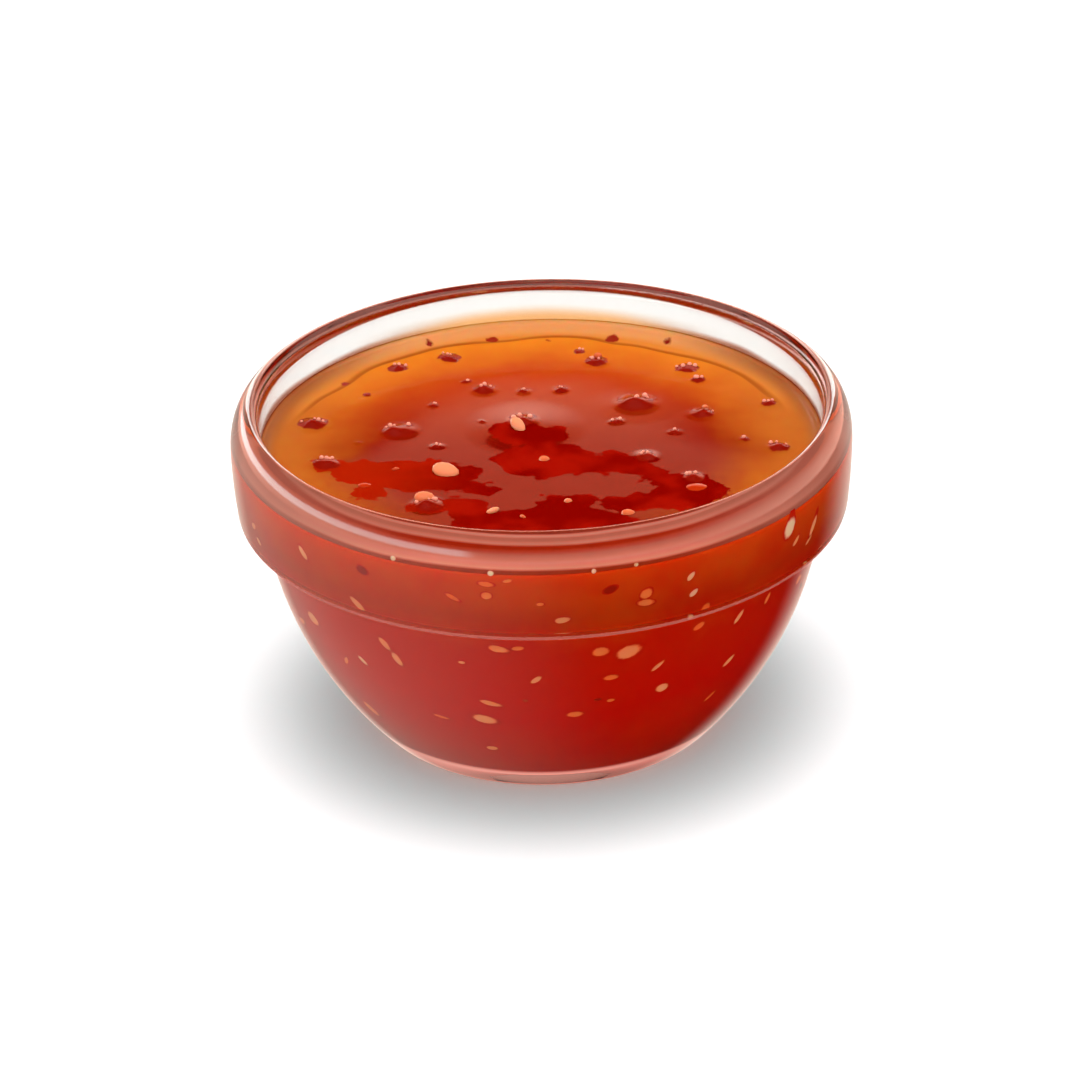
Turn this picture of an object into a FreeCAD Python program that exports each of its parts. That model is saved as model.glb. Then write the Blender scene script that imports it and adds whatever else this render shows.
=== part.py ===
"""Stackable dip bowl of clear pressed glass, filled with sweet chili sauce.

The bowl is one piece of glass: a rounded cup with a thick upright band round its mouth. The band
overhangs the cup as a step, on which the bowl rests when it is stacked in another. The sauce is one
solid that fills the bowl to a level below the rim. It creeps up the glass at its edge, and its skin
is raised into low lumps where chili seeds and flakes lie just under it.

Millimetres, +Z up. The origin is the centre of the foot, on the surface that the bowl stands on.
"""

import FreeCAD
import Part

import math
import os

# ---- driving dimensions: glass bowl ----
RIM_DIAMETER = 75.0  # the widest place, just below the rounded lip
HEIGHT = 41.5
BAND_HEIGHT = 13.0  # from the band's lower edge to the rim
BAND_TAPER = 0.45  # how much the band's radius shrinks, from its widest place to its lower edge
STEP_WIDTH = 2.75  # how far the band's lower edge overhangs the cup
STEP_RISE = 0.6  # the underside of the step slopes up by this, towards the cup
FOOT_DIAMETER = 43.2
CUP_BULGE = 2.65  # how far the cup's side bows out from a straight line, foot to step
CUP_WALL = 2.6
BASE_THICKNESS = 3.2
LIP_THICKNESS = 3.4  # from the widest place in to the mouth
LIP_ROUND_WIDTH = 2.5  # the lip's outside is a quarter of an ellipse, this wide
LIP_ROUND_HEIGHT = 4.6  # and this high
LIP_INNER_ROUND = 0.8
MOUTH_DRAFT_DEG = 2.0  # lean of the inside of the band
SHOULDER_HEIGHT = 4.5  # height of the slope inside that joins band and cup
FOOT_RING_WIDTH = 3.5  # flat ring that the bowl stands on
PUNT_DEPTH = 0.6  # hollow under the foot, inside the ring
BAND_EDGE_ROUND = 0.9
STEP_CORNER_ROUND = 0.8
FOOT_EDGE_ROUND = 1.2
SHOULDER_ROUND = 7.0
FLOOR_CORNER_ROUND = 7.0

# ---- driving dimensions: sauce ----
SAUCE_BELOW_RIM = 6.6  # from the rim down to the level middle of the sauce
MENISCUS_RADIUS = 1.9  # curve by which the sauce creeps up the glass
MENISCUS_ANGLE_DEG = 76.0  # how steep that curve is where it meets the glass
LUMPS = (  # azimuth from +X in degrees, share of the way out to the edge, radius, height
    (109.0, 0.20, 3.0, 0.75),
    (44.0, 0.50, 2.6, 0.70),
    (163.0, 0.56, 2.1, 0.60),
    (22.0, 0.67, 1.8, 0.50),
    (73.0, 0.78, 1.8, 0.50),
    (47.0, 0.86, 1.7, 0.45),
    (114.0, 0.88, 1.4, 0.40),
    (128.0, 0.91, 1.2, 0.35),
    (165.0, 0.89, 1.7, 0.50),
    (-4.0, 0.88, 1.7, 0.50),
    (114.0, 0.54, 1.5, 0.40),
    (-15.0, 0.41, 1.5, 0.40),
    (-33.0, 0.67, 2.2, 0.35),
    (-135.0, 0.60, 1.6, 0.45),
    (-151.0, 0.41, 1.8, 0.45),
    (-176.0, 0.81, 1.4, 0.35),
)

# ---- sizes that follow from them ----
RIM_RADIUS = RIM_DIAMETER / 2
FOOT_RADIUS = FOOT_DIAMETER / 2
WIDEST_Z = HEIGHT - LIP_ROUND_HEIGHT
BAND_BOTTOM = HEIGHT - BAND_HEIGHT
BAND_BOTTOM_RADIUS = RIM_RADIUS - BAND_TAPER
STEP_Z = BAND_BOTTOM + STEP_RISE  # where the step's underside meets the cup
STEP_RADIUS = BAND_BOTTOM_RADIUS - STEP_WIDTH
MOUTH_RADIUS = RIM_RADIUS - LIP_THICKNESS
SHOULDER_BOTTOM = BAND_BOTTOM - STEP_RISE
SHOULDER_TOP = SHOULDER_BOTTOM + SHOULDER_HEIGHT
SAUCE_LEVEL = HEIGHT - SAUCE_BELOW_RIM
OVERRUN = 1.0  # how far a cutting tool runs past the glass

AXIS = (FreeCAD.Vector(0, 0, 0), FreeCAD.Vector(0, 0, 1))


class SideArc:
    """The bowed side of the cup, as an arc in the plane of radius and height."""

    def __init__(self, low, high, bulge):
        across, up = high[0] - low[0], high[1] - low[1]
        chord = math.hypot(across, up)
        self.radius = (chord**2 / 4 + bulge**2) / (2 * bulge)
        inset = self.radius - bulge
        self.centre_r = (low[0] + high[0]) / 2 - inset * up / chord
        self.centre_z = (low[1] + high[1]) / 2 + inset * across / chord

    def radius_at(self, z, inward=0.0):
        """Distance from the bowl's axis at height z, on the arc moved inward by a wall."""
        return self.centre_r + math.sqrt((self.radius - inward) ** 2 - (z - self.centre_z) ** 2)


CUP = SideArc((FOOT_RADIUS, 0), (STEP_RADIUS, STEP_Z), CUP_BULGE)


def inside_radius_at(z):
    """Radius of the space inside the glass at height z, before its corners are rounded."""
    mouth = MOUTH_RADIUS - (HEIGHT - max(z, SHOULDER_TOP)) * math.tan(math.radians(MOUTH_DRAFT_DEG))
    if z >= SHOULDER_TOP:
        return mouth
    cup = CUP.radius_at(min(z, SHOULDER_BOTTOM), CUP_WALL)
    share = max(0.0, (z - SHOULDER_BOTTOM) / SHOULDER_HEIGHT)
    return cup + share * (mouth - cup)


def point(r, z):
    return FreeCAD.Vector(r, 0, z)


def lines(*corners):
    """Straight edges from corner to corner, each corner being (radius, height)."""
    return [Part.makeLine(point(*a), point(*b)) for a, b in zip(corners, corners[1:])]


def arc(start, middle, end):
    return [Part.Arc(point(*start), point(*middle), point(*end)).toShape()]


def cup_arc(low_z, high_z, inward=0.0):
    """The side of the cup from one height to another, moved inward by a wall."""
    heights = (low_z, (low_z + high_z) / 2, high_z)
    return arc(*((CUP.radius_at(z, inward), z) for z in heights))


def band_arc():
    """The outside of the band: upright at its widest place, and leaning in towards its lower edge."""
    drop = WIDEST_Z - BAND_BOTTOM
    bow = (drop**2 + BAND_TAPER**2) / (2 * BAND_TAPER)
    middle = RIM_RADIUS - bow + math.sqrt(bow**2 - drop**2 / 4)
    return arc((BAND_BOTTOM_RADIUS, BAND_BOTTOM), (middle, WIDEST_Z - drop / 2), (RIM_RADIUS, WIDEST_Z))


def lip_arc():
    """The rounded outside of the lip, from the widest place up to the rim."""
    centre = point(RIM_RADIUS - LIP_ROUND_WIDTH, WIDEST_Z)
    top = point(RIM_RADIUS - LIP_ROUND_WIDTH, HEIGHT)
    ellipse = Part.Ellipse(top, point(RIM_RADIUS, WIDEST_Z), centre)
    ends = sorted(ellipse.parameter(p) for p in (top, point(RIM_RADIUS, WIDEST_Z)))
    if ends[1] - ends[0] > math.pi:
        ends = [ends[1], ends[0] + 2 * math.pi]
    return [Part.ArcOfEllipse(ellipse, *ends).toShape()]


def turned(edges):
    """The solid swept by a closed outline turned once about the bowl's axis."""
    face = Part.Face(Part.Wire(edges))
    return face.revolve(*AXIS, 360)


def ring(shape, r, z):
    """The circular edge of a turned shape that lies nearest to a radius and height."""
    circles = [
        edge
        for edge in shape.Edges
        if not edge.Degenerated and edge.isClosed() and isinstance(edge.Curve, Part.Circle)
    ]
    return min(circles, key=lambda edge: abs(edge.Curve.Radius - r) + abs(edge.Curve.Center.z - z))


def make_cavity():
    """The space inside the glass, run past the rim: it is cut from the bowl and trims the sauce."""
    top = HEIGHT + OVERRUN
    floor_edge = (CUP.radius_at(BASE_THICKNESS, CUP_WALL), BASE_THICKNESS)
    shoulder = [(inside_radius_at(z), z) for z in (SHOULDER_BOTTOM, SHOULDER_TOP)]
    edges = lines((0, BASE_THICKNESS), floor_edge)
    edges += cup_arc(BASE_THICKNESS, SHOULDER_BOTTOM, CUP_WALL)
    edges += lines(*shoulder, (inside_radius_at(top), top), (0, top), (0, BASE_THICKNESS))
    cavity = turned(edges)
    cavity = cavity.makeFillet(FLOOR_CORNER_ROUND, [ring(cavity, *floor_edge)])
    return cavity.makeFillet(SHOULDER_ROUND, [ring(cavity, *corner) for corner in shoulder])


def make_blank():
    """The outside of the bowl, as if it were solid glass."""
    foot_edge = (FOOT_RADIUS, 0)
    step_corner = (STEP_RADIUS, STEP_Z)
    band_edge = (BAND_BOTTOM_RADIUS, BAND_BOTTOM)
    edges = lines((0, 0), foot_edge) + cup_arc(0, STEP_Z)
    edges += lines(step_corner, band_edge) + band_arc() + lip_arc()
    edges += lines((RIM_RADIUS - LIP_ROUND_WIDTH, HEIGHT), (0, HEIGHT), (0, 0))
    blank = turned(edges)
    blank = blank.makeFillet(FOOT_EDGE_ROUND, [ring(blank, *foot_edge)])
    blank = blank.makeFillet(STEP_CORNER_ROUND, [ring(blank, *step_corner)])
    return blank.makeFillet(BAND_EDGE_ROUND, [ring(blank, *band_edge)])


def make_punt():
    """The ball that hollows the shallow dome under the foot, inside the ring that the bowl stands on."""
    radius = FOOT_RADIUS - FOOT_EDGE_ROUND - FOOT_RING_WIDTH
    ball = (radius**2 + PUNT_DEPTH**2) / (2 * PUNT_DEPTH)
    return Part.makeSphere(ball, point(0, PUNT_DEPTH - ball))


def make_bowl(cavity):
    """One piece of pressed glass."""
    bowl = make_blank().cut(cavity).cut(make_punt())
    flat = LIP_THICKNESS - LIP_ROUND_WIDTH  # what the outside leaves for the inner round
    return bowl.makeFillet(min(LIP_INNER_ROUND, 0.95 * flat), [ring(bowl, MOUTH_RADIUS, HEIGHT)])


def creep(level_radius, angle_deg):
    """A point of the curve that climbs the glass, where it has become this steep."""
    angle = math.radians(angle_deg)
    return (
        level_radius + MENISCUS_RADIUS * math.sin(angle),
        SAUCE_LEVEL + MENISCUS_RADIUS * (1 - math.cos(angle)),
    )


def make_sauce(cavity):
    """What fills the bowl: level in the middle, curved up where it meets the glass, with its lumps."""
    reach, contact_z = creep(0, MENISCUS_ANGLE_DEG)
    level_radius = inside_radius_at(contact_z) - reach
    steepest = min(90.0, MENISCUS_ANGLE_DEG + 10)  # the curve runs on into the glass, which trims it
    past = creep(level_radius, steepest)
    edges = lines((0, 0), (0, SAUCE_LEVEL), (level_radius, SAUCE_LEVEL))
    edges += arc((level_radius, SAUCE_LEVEL), creep(level_radius, steepest / 2), past)
    outside = RIM_RADIUS + OVERRUN
    edges += lines(past, (outside, past[1]), (outside, 0), (0, 0))
    sauce = cavity.common(turned(edges))
    for azimuth, share, radius, height in LUMPS:
        ball = (radius**2 + height**2) / (2 * height)
        angle = math.radians(azimuth)
        distance = share * level_radius
        centre = (distance * math.cos(angle), distance * math.sin(angle), SAUCE_LEVEL + height - ball)
        sauce = sauce.fuse(Part.makeSphere(ball, FreeCAD.Vector(*centre)))
    return sauce.removeSplitter()


def main():
    os.makedirs("parts", exist_ok=True)
    cavity = make_cavity()
    for name, shape in (("bowl", make_bowl(cavity)), ("sauce", make_sauce(cavity))):
        solid = shape.Solids[0]
        print(name, "solids", len(shape.Solids), "valid", solid.isValid(), "mm3", round(solid.Volume, 1))
        solid.exportStep(f"parts/{name}.step")


main()
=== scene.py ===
"""Looks of a small stackable glass bowl, filled with sweet chili sauce.

Metres, +Z up. The foot stands on z = 0 and the bowl's axis is the Z axis. Sizes are taken from the
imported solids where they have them, and otherwise given in millimetres.
"""

import math
import random

import bmesh
import bpy
import numpy as np
from mathutils import Matrix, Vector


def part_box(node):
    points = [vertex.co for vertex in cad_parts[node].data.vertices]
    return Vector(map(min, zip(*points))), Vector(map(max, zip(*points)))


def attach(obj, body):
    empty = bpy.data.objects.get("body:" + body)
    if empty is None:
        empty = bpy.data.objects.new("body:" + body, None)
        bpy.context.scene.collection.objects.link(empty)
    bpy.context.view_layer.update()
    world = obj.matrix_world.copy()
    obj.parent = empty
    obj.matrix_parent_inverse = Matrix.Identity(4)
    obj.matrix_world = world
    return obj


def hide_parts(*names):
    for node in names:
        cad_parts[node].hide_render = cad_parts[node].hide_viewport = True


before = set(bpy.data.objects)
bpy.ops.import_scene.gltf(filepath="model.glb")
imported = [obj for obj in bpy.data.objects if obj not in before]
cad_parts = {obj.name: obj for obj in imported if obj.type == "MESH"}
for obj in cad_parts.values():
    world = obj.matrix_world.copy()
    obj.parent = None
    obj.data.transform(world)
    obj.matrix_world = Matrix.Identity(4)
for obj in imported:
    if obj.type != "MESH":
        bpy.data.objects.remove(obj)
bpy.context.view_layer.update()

# ---- Camera ---------------------------------------------------------------------------------------
# A long lens on a tripod, a little under half a metre from the bowl and looking down into it. The
# tripod head leans slightly, so the bowl stands a degree or so out of plumb.
MM = 0.001
CAMERA_DISTANCE = 450 * MM
CAMERA_TILT_DOWN = math.radians(28.0)
CAMERA_LEAN = math.radians(-1.45)
AIM_HEIGHT = 20 * MM

bpy.ops.object.camera_add(
    location=(
        0,
        -CAMERA_DISTANCE * math.cos(CAMERA_TILT_DOWN),
        AIM_HEIGHT + CAMERA_DISTANCE * math.sin(CAMERA_TILT_DOWN),
    ),
    rotation=(math.pi / 2 - CAMERA_TILT_DOWN, 0, 0),
)
camera = bpy.context.object
camera.rotation_euler.rotate_axis("Z", CAMERA_LEAN)
camera.data.sensor_width = 36
camera.data.lens = 122
camera.data.shift_x = -0.004
camera.data.shift_y = 0.0136
bpy.context.scene.camera = camera
bpy.context.scene.view_settings.view_transform = "Standard"

# ---- Table ----------------------------------------------------------------------------------------
# A plain white tabletop, painted matt. It runs out past everything that the camera sees, and shows
# the bowl's own soft shadow, deepened round the foot by painted shade: a darker, cooler white there,
# which also evens out the red light that the sauce throws.
TABLE_SIZE = 6.0
TABLE_WHITE = "f7fdfd"
# Painted shade: a darker, cooler white close round the foot.
TABLE_PAINTED_SHADE = "d2ecec"  # evens out the red light that the sauce throws


def linear(hex_colour, alpha=1.0):
    """An sRGB colour, written as six hex digits, as linear red, green, blue and alpha."""
    channels = [int(hex_colour[i : i + 2], 16) / 255 for i in (0, 2, 4)]
    return tuple(c / 12.92 if c <= 0.04045 else ((c + 0.055) / 1.055) ** 2.4 for c in channels) + (alpha,)


def add_node(tree, kind, sockets=None, **settings):
    """Adds a shader node with its settings, and fills its sockets, by name or in their order.

    Each socket gets a value, or the node or output that feeds it.
    """
    node = tree.nodes.new("ShaderNode" + kind)
    for name, value in settings.items():
        setattr(node, name, value)
    by_identifier = {socket.identifier: socket for socket in node.inputs}
    filled = sockets.items() if isinstance(sockets, dict) else enumerate(sockets or ())
    for name, value in filled:
        socket = by_identifier.get(name) or node.inputs[name]
        if isinstance(value, bpy.types.Node):
            value = next(output for output in value.outputs if output.enabled)
        if isinstance(value, bpy.types.NodeSocket):
            tree.links.new(value, socket)
        else:
            socket.default_value = value
    return node


def new_material(name):
    """A node material with nothing in it yet, and its tree."""
    material = bpy.data.materials.new(name)
    material.use_nodes = True
    material.node_tree.nodes.clear()
    return material, material.node_tree


# Matt white emulsion scatters nearly all light evenly, with no gloss at all.
emulsion, tree = new_material("matt white emulsion")
place = add_node(tree, "TexCoord").outputs["Object"]
from_foot = add_node(tree, "VectorMath", {0: place}, operation="LENGTH").outputs["Value"]
sockets = {"Value": from_foot, "From Min": 23 * MM, "From Max": 42 * MM}
clear_of_foot = add_node(tree, "MapRange", sockets, interpolation_type="SMOOTHSTEP")
# Painted shade: the white turns to the darker, cooler tone close round the foot.
sockets = {"Factor": clear_of_foot, "A_Color": linear(TABLE_PAINTED_SHADE), "B_Color": linear(TABLE_WHITE)}
white = add_node(tree, "Mix", sockets, data_type="RGBA")
paint = add_node(tree, "BsdfDiffuse", {"Color": white})
add_node(tree, "OutputMaterial", {"Surface": paint})

bpy.ops.object.select_all(action="DESELECT")
bpy.ops.mesh.primitive_plane_add(size=TABLE_SIZE, location=(0, 0, 0))
table = bpy.context.object
table.name = "table"
table.data.materials.append(emulsion)
table.visible_glossy = False

# ---- Studio light ---------------------------------------------------------------------------------
# White cloth overhead and white boards in front light the bowl softly from all sides. What it mirrors
# is a wall of salmon-coloured paper all round, up to a level edge with the dark studio above it, the
# table, lit on the left and behind, and one bright panel on the left.
GLOW_SCALE = 5.0
MIRRORED = [  # sine of the height above the horizon, colour, glow
    (0.0, "ffc4ae", 3.4),
    (0.25, "ffc0aa", 2.7),
    (0.36, "ffb49c", 2.2),
    (0.415, "ffa084", 1.95),
    (0.455, "ff8660", 1.75),
    (0.49, "ff7d58", 1.7),
    (0.495, "1c1414", 1.0),
    (0.75, "1c1414", 1.0),
    (0.9, "8c7068", 1.0),
]
TABLE_SHEEN = linear("ffe8d8")
TABLE_DARK = linear("1c1414")
CLOTH_SIDES = 0.36
CLOTH_TOP = 4.8
BOARD_GLOW = 1.0
PANEL_EDGE = -0.44
PANEL_SOFTNESS = 0.06
PANEL_GLOW = 6.5
THROUGH_GLASS = (2.0, 0.85, 0.68, 1)  # what shows in its place above the horizon, through the glass

world = bpy.data.worlds.new("studio")
bpy.context.scene.world = world
world.use_nodes = True
world.cycles.sampling_method = "NONE"
tree = world.node_tree
tree.nodes.clear()
direction = add_node(tree, "TexCoord")
axes = add_node(tree, "SeparateXYZ", {"Vector": direction.outputs["Generated"]})
sideways, backward, height = axes.outputs["X"], axes.outputs["Y"], axes.outputs["Z"]

by_height = add_node(tree, "ValToRGB", {"Fac": height})
ramp = by_height.color_ramp
for i, (sine, colour, glow) in enumerate(MIRRORED):
    stop = ramp.elements[i] if i < 2 else ramp.elements.new(sine)
    stop.position = sine
    stop.color = tuple(glow / GLOW_SCALE * c for c in linear(colour))
sockets = {0: by_height, "Scale": GLOW_SCALE}
paper = add_node(tree, "VectorMath", sockets, operation="SCALE")
lit_left = add_node(tree, "MapRange", [sideways, 0.35, -0.95], interpolation_type="SMOOTHSTEP")
lit_back = add_node(tree, "MapRange", [backward, 0.5, 0.85], interpolation_type="SMOOTHSTEP")
lit_around = add_node(tree, "Math", [lit_left, lit_back], operation="MAXIMUM")
lit_table = add_node(
    tree, "Mix", {"Factor": lit_around, "A_Color": TABLE_DARK, "B_Color": TABLE_SHEEN}, data_type="RGBA"
)
plain = add_node(
    tree,
    "Mix",
    {
        "Factor": add_node(tree, "MapRange", [height, 0.0, -0.1], interpolation_type="SMOOTHSTEP"),
        "A_Color": paper,
        "B_Color": lit_table,
    },
    data_type="RGBA",
)
panel_height = add_node(
    tree,
    "Math",
    [
        add_node(tree, "MapRange", [height, 0.05, 0.14], interpolation_type="SMOOTHSTEP"),
        add_node(tree, "MapRange", [height, 0.36, 0.28], interpolation_type="SMOOTHSTEP"),
    ],
    operation="MULTIPLY",
)
in_panel = add_node(
    tree,
    "Math",
    [
        panel_height,
        add_node(
            tree,
            "MapRange",
            [sideways, PANEL_EDGE + PANEL_SOFTNESS, PANEL_EDGE - PANEL_SOFTNESS],
            interpolation_type="SMOOTHSTEP",
        ),
    ],
    operation="MULTIPLY",
)
with_panel = add_node(
    tree,
    "Mix",
    {
        "Factor": in_panel,
        "A_Color": plain,
        "B_Color": (PANEL_GLOW, 0.93 * PANEL_GLOW, 0.9 * PANEL_GLOW, 1),
    },
    data_type="RGBA",
)
rays = add_node(tree, "LightPath")
past_glass = add_node(tree, "Math", [rays.outputs["Transmission Depth"], 0.5], operation="GREATER_THAN")
seen_through = add_node(
    tree,
    "Math",
    [past_glass, add_node(tree, "MapRange", [height, 0.0, 0.05], interpolation_type="SMOOTHSTEP")],
    operation="MULTIPLY",
)
mirrored = add_node(
    tree,
    "Mix",
    {"Factor": seen_through, "A_Color": with_panel, "B_Color": THROUGH_GLASS},
    data_type="RGBA",
)
low_air = add_node(tree, "MapRange", [height, 0.8, 0.1], interpolation_type="SMOOTHSTEP")
front_air = add_node(tree, "MapRange", [backward, 0.35, -0.35], interpolation_type="SMOOTHSTEP")
boards = add_node(tree, "Math", [low_air, front_air], operation="MULTIPLY")
cloth = add_node(
    tree,
    "Math",
    [add_node(tree, "Math", [height, 6.0], operation="POWER"), CLOTH_TOP - CLOTH_SIDES, CLOTH_SIDES],
    operation="MULTIPLY_ADD",
)
air = add_node(tree, "Math", [boards, BOARD_GLOW, cloth], operation="MULTIPLY_ADD")
scattered = add_node(tree, "Math", [rays.outputs["Diffuse Depth"], 0.5], operation="GREATER_THAN")
glow = add_node(
    tree,
    "Background",
    {
        "Color": add_node(
            tree, "Mix", {"Factor": scattered, "A_Color": mirrored, "B_Color": air}, data_type="RGBA"
        ),
    },
)
add_node(tree, "OutputWorld", {"Surface": glow})

# ---- Glass bowl -----------------------------------------------------------------------------------
# One piece of clear soda-lime glass, pressed in a mould and fire-polished, so every corner is eased.
# A thick upright band round the mouth overhangs the rounded cup as a step, for stacking.
_, high_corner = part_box("bowl")
RIM_RADIUS = high_corner.x
HEIGHT = high_corner.z
BAND_HEIGHT = 13 * MM
BAND_TAPER = 0.45 * MM
STEP_WIDTH = 2.75 * MM
STEP_RISE = 0.6 * MM
FOOT_RADIUS = 21.6 * MM
CUP_BULGE = 2.65 * MM
CUP_WALL = 2.6 * MM
BASE_THICKNESS = 3.2 * MM
LIP_THICKNESS = 3.4 * MM
LIP_ROUND_WIDTH = 2.5 * MM
LIP_ROUND_HEIGHT = 4.6 * MM
LIP_INNER_ROUND = 0.8 * MM
MOUTH_DRAFT = math.tan(math.radians(2))
SHOULDER_HEIGHT = 4.5 * MM
PUNT_RADIUS = 16.9 * MM
PUNT_DEPTH = 0.6 * MM
OUTSIDE_EASE = 0.4 * MM  # how softly the corners are rounded, as the spread of a blur
INSIDE_EASE = 1.8 * MM
GLASS_TURN_STEPS = 256
# Worn haze, painted pink as a highlight line.
WORN_EDGE_HIGHLIGHT_PINK = "e07468"
WORN_SHARE = 0.4
WORN_BELOW = 0.3 * MM
WORN_ABOVE = 0.8 * MM
WORN_INWARD = 1.3 * MM
GLASS_SHADE = "b8b6b4"
GLASS_DENSITY = 45  # per metre: a few millimetres look clear, and only the long way through looks brown
GLASS_IOR = 1.52

WIDEST_Z = HEIGHT - LIP_ROUND_HEIGHT
BAND_BOTTOM = HEIGHT - BAND_HEIGHT
STEP_Z = BAND_BOTTOM + STEP_RISE
STEP_RADIUS = RIM_RADIUS - BAND_TAPER - STEP_WIDTH
MOUTH_RADIUS = RIM_RADIUS - LIP_THICKNESS
SHOULDER_BOTTOM = BAND_BOTTOM - STEP_RISE
SHOULDER_TOP = SHOULDER_BOTTOM + SHOULDER_HEIGHT
side_run, side_rise = STEP_RADIUS - FOOT_RADIUS, STEP_Z
side_chord = math.hypot(side_run, side_rise)
SIDE_BOW = (side_chord**2 / 4 + CUP_BULGE**2) / (2 * CUP_BULGE)
SIDE_CENTRE_R = (FOOT_RADIUS + STEP_RADIUS) / 2 - (SIDE_BOW - CUP_BULGE) * side_rise / side_chord
SIDE_CENTRE_Z = side_rise / 2 + (SIDE_BOW - CUP_BULGE) * side_run / side_chord


def cup_radius(z, inward=0.0):
    """Radius of the cup's bowed side at a height, on its outside or that far inward."""
    return SIDE_CENTRE_R + math.sqrt((SIDE_BOW - inward) ** 2 - (z - SIDE_CENTRE_Z) ** 2)


def mouth_radius(z):
    """Radius of the inside of the band, which widens a little towards the rim."""
    return MOUTH_RADIUS - (HEIGHT - z) * MOUTH_DRAFT


def steps(start, end, count=24):
    """Evenly spaced values from start to end, with both ends."""
    return [start + (end - start) * i / count for i in range(count + 1)]


def eased(outline, ease):
    """The outline with its corners rounded: it is walked in small even steps, and blurred by ease."""
    stride = 0.1 * MM
    points = np.array(outline)
    along = np.concatenate([[0], np.cumsum(np.hypot(*np.diff(points, axis=0).T))])
    even = np.linspace(0, along[-1], int(along[-1] / stride) + 1)
    reach = int(3 * ease / stride)
    weights = np.exp(-0.5 * (np.arange(-reach, reach + 1) * stride / ease) ** 2)
    smooth = []
    for axis in (0, 1):
        walked = np.interp(even, along, points[:, axis])
        before = 2 * walked[0] - walked[reach:0:-1]
        after = 2 * walked[-1] - walked[-2 : -reach - 2 : -1]
        padded = np.concatenate([before, walked, after])
        smooth.append(np.convolve(padded, weights / weights.sum(), "valid"))
    return np.array(smooth).T


def thinned(outline, longest=1.2 * MM, sharpest=math.radians(3)):
    """Keeps the points that the outline's shape needs: one for each small turn or long enough run."""
    kept, turn, run = [outline[0]], 0.0, 0.0
    for before, here, after in zip(outline, outline[1:], outline[2:]):
        arriving, leaving = here - before, after - here
        turn += abs(math.remainder(math.atan2(*leaving) - math.atan2(*arriving), math.tau))
        run += math.hypot(*arriving)
        if turn > sharpest or run > longest:
            kept.append(here)
            turn, run = 0.0, 0.0
    return kept + [outline[-1]]


def turned_piece(name, outline, turn_steps):
    """A lathe piece: an edge drawn through points of (radius, height), then spun once about Z."""
    bpy.ops.object.select_all(action="DESELECT")
    bpy.ops.mesh.primitive_plane_add(size=MM, location=(0, 0, 0))
    piece = bpy.context.object
    piece.name = piece.data.name = name
    bpy.ops.object.mode_set(mode="EDIT")
    bpy.ops.mesh.merge(type="CENTER")
    bpy.ops.transform.translate(value=(outline[0][0], 0, outline[0][1]))
    for here, there in zip(outline, outline[1:]):
        move = (there[0] - here[0], 0, there[1] - here[1])
        bpy.ops.mesh.extrude_vertices_move(TRANSFORM_OT_translate={"value": move})
    bpy.ops.mesh.select_all(action="SELECT")
    bpy.ops.mesh.spin(steps=turn_steps, angle=math.tau, center=(0, 0, 0), axis=(0, 0, 1))
    bpy.ops.mesh.select_all(action="SELECT")
    bpy.ops.mesh.remove_doubles(threshold=0.002 * MM)
    bpy.ops.mesh.normals_make_consistent(inside=False)
    bpy.ops.object.mode_set(mode="OBJECT")
    bpy.ops.object.shade_smooth()
    return piece


def lip_point(angle):
    """A point of the lip's rounded outside, from its widest place at 0 to the rim at a quarter turn."""
    inset = LIP_ROUND_WIDTH * (1 - math.cos(angle))
    return RIM_RADIUS - inset, WIDEST_Z + LIP_ROUND_HEIGHT * math.sin(angle)


def inner_lip_point(angle):
    """A point of the small round between the rim and the inside of the mouth."""
    centre = (MOUTH_RADIUS + LIP_INNER_ROUND, HEIGHT - LIP_INNER_ROUND)
    return centre[0] + LIP_INNER_ROUND * math.cos(angle), centre[1] + LIP_INNER_ROUND * math.sin(angle)


band_drop = WIDEST_Z - BAND_BOTTOM
outside = [(r, PUNT_DEPTH * (1 - (r / PUNT_RADIUS) ** 2)) for r in steps(0, PUNT_RADIUS)]
outside += [(cup_radius(z), z) for z in steps(0, STEP_Z)]
outside += [
    (RIM_RADIUS - BAND_TAPER * ((WIDEST_Z - z) / band_drop) ** 2, z) for z in steps(BAND_BOTTOM, WIDEST_Z)
]
outside += [lip_point(angle) for angle in steps(0, math.pi / 2)]
inside = [(mouth_radius(z), z) for z in steps(HEIGHT, SHOULDER_TOP)]
inside += [(cup_radius(z, CUP_WALL), z) for z in steps(SHOULDER_BOTTOM, BASE_THICKNESS)]
inside += [(0, BASE_THICKNESS)]
outside = eased(outside, OUTSIDE_EASE)
inside = eased(inside, INSIDE_EASE)
inside = inside[inside[:, 1] < HEIGHT - LIP_INNER_ROUND]
inner_lip = np.array([inner_lip_point(angle) for angle in steps(math.pi / 2, math.pi, 8)])
outside[0, 0] = inside[-1, 0] = 0.0
bowl = turned_piece(
    "glass_bowl", thinned(np.concatenate([outside, inner_lip, inside])), GLASS_TURN_STEPS
)

# Soda-lime glass is clear, and only looks brown the long way through the rim. Its fire-polished skin
# mirrors sharply.
glass, tree = new_material("clear soda-lime glass")
body = add_node(
    tree,
    "BsdfPrincipled",
    {
        "Base Color": linear("ffffff"),
        "Roughness": 0.0,
        "IOR": GLASS_IOR,
        "Transmission Weight": 1.0,
    },
)
shade = add_node(tree, "VolumeAbsorption", {"Color": linear(GLASS_SHADE), "Density": GLASS_DENSITY})
add_node(tree, "OutputMaterial", {"Surface": body, "Volume": shade})
bowl.data.materials.append(glass)
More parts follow.
